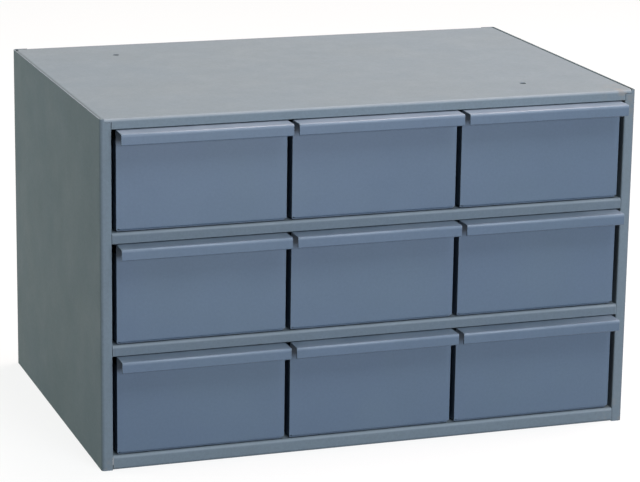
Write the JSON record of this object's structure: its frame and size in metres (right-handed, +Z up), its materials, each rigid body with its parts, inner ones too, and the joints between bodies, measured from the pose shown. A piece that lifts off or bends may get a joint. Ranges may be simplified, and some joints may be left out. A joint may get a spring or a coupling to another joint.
{
  "type": "drawer cabinet",
  "caption": "Steel small-parts cabinet: a folded-sheet case with a grid of sliding drawers, each with a full-width hooked pull along the top of its front.",
  "frame": {"origin": "on the bench, under the middle of the overall box, pulls included", "axes": "+Z up, +X to the right as seen from the front, drawers face and open towards -Y"},
  "size_m": [0.4382, 0.3106, 0.2762],
  "materials": {
    "case_enamel": "satin",
    "drawer_enamel": "satin"
  },
  "bodies": {
    "case": {"left_side_panel": "case_enamel", "right_side_panel": "case_enamel", "top_panel": "case_enamel", "bottom_panel": "case_enamel", "back_panel": "case_enamel", "upper_shelf": "case_enamel", "lower_shelf": "case_enamel", "top_left_partition": "case_enamel", "top_right_partition": "case_enamel", "top_left_guide": "case_enamel", "top_right_guide": "case_enamel", "middle_left_partition": "case_enamel", "middle_right_partition": "case_enamel", "middle_left_guide": "case_enamel", "middle_right_guide": "case_enamel", "bottom_left_partition": "case_enamel", "bottom_right_partition": "case_enamel", "bottom_left_guide": "case_enamel", "bottom_right_guide": "case_enamel"},
    "top_left_drawer": {"top_left_drawer_front": "drawer_enamel", "top_left_drawer_tray": "drawer_enamel"},
    "top_centre_drawer": {"top_centre_drawer_front": "drawer_enamel", "top_centre_drawer_tray": "drawer_enamel"},
    "top_right_drawer": {"top_right_drawer_front": "drawer_enamel", "top_right_drawer_tray": "drawer_enamel"},
    "middle_left_drawer": {"middle_left_drawer_front": "drawer_enamel", "middle_left_drawer_tray": "drawer_enamel"},
    "middle_centre_drawer": {"middle_centre_drawer_front": "drawer_enamel", "middle_centre_drawer_tray": "drawer_enamel"},
    "middle_right_drawer": {"middle_right_drawer_front": "drawer_enamel", "middle_right_drawer_tray": "drawer_enamel"},
    "bottom_left_drawer": {"bottom_left_drawer_front": "drawer_enamel", "bottom_left_drawer_tray": "drawer_enamel"},
    "bottom_centre_drawer": {"bottom_centre_drawer_front": "drawer_enamel", "bottom_centre_drawer_tray": "drawer_enamel"},
    "bottom_right_drawer": {"bottom_right_drawer_front": "drawer_enamel", "bottom_right_drawer_tray": "drawer_enamel"}
  },
  "joints": [
    {"name": "top_left_drawer_slide", "type": "slide", "parent": "case", "child": "top_left_drawer", "axis": [0, -1, 0], "range_m": [0, 0.255]},
    {"name": "top_centre_drawer_slide", "type": "slide", "parent": "case", "child": "top_centre_drawer", "axis": [0, -1, 0], "range_m": [0, 0.255]},
    {"name": "top_right_drawer_slide", "type": "slide", "parent": "case", "child": "top_right_drawer", "axis": [0, -1, 0], "range_m": [0, 0.255]},
    {"name": "middle_left_drawer_slide", "type": "slide", "parent": "case", "child": "middle_left_drawer", "axis": [0, -1, 0], "range_m": [0, 0.255]},
    {"name": "middle_centre_drawer_slide", "type": "slide", "parent": "case", "child": "middle_centre_drawer", "axis": [0, -1, 0], "range_m": [0, 0.255]},
    {"name": "middle_right_drawer_slide", "type": "slide", "parent": "case", "child": "middle_right_drawer", "axis": [0, -1, 0], "range_m": [0, 0.255]},
    {"name": "bottom_left_drawer_slide", "type": "slide", "parent": "case", "child": "bottom_left_drawer", "axis": [0, -1, 0], "range_m": [0, 0.255]},
    {"name": "bottom_centre_drawer_slide", "type": "slide", "parent": "case", "child": "bottom_centre_drawer", "axis": [0, -1, 0], "range_m": [0, 0.255]},
    {"name": "bottom_right_drawer_slide", "type": "slide", "parent": "case", "child": "bottom_right_drawer", "axis": [0, -1, 0], "range_m": [0, 0.255]}
  ]
}
